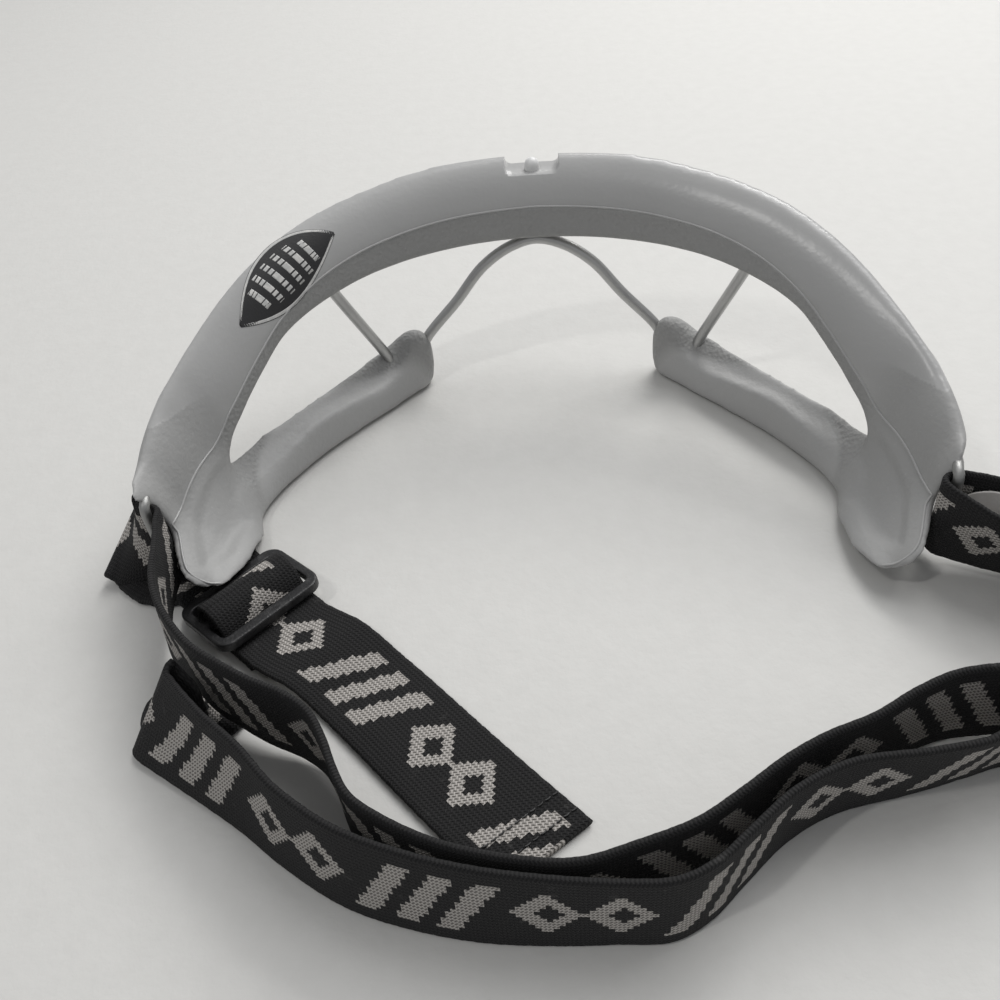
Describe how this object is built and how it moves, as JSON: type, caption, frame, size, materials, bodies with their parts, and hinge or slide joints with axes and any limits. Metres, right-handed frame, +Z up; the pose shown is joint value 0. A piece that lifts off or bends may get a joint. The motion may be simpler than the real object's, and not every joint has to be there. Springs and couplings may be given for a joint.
{
  "type": "lacrosse goggles",
  "caption": "Grey moulded lacrosse goggles with a bent wire cage, strap bails and an adjustable black woven strap laid out on a table.",
  "frame": {"origin": "on the table under the middle of the whole part's bounding box", "axes": "+X to the wearer's right-hand strap loop across the goggles, +Y out through the front of the goggles, +Z up from the table"},
  "size_m": [0.199, 0.1518, 0.0545],
  "materials": {
    "moulding": "satin grey soft plastic, matte on the contact band",
    "badge": "matte black",
    "plug": "cloudy clear",
    "wire": "satin steel wire",
    "webbing": "black knitted elastic with light grey blocks",
    "slider": "black, finely pebbled",
    "label": "off-white, smooth"
  },
  "bodies": {
    "goggles": {"frame_moulding": "moulding", "badge_plate": "badge", "centre_plug": "plug", "cage_wire": "wire", "strap_bail_left": "wire", "strap_bail_right": "wire", "strap_band": "webbing", "strap_feed": "webbing", "strap_tail": "webbing", "strap_label": "label"},
    "slider": {"strap_slider": "slider", "strap_end": "webbing"}
  },
  "joints": [
    {"name": "slider_slide", "type": "slide", "parent": "goggles", "child": "slider", "axis": [0.7349, -0.6782, 0], "range_m": [0, 0.008], "deforming": ["strap_feed"]}
  ]
}
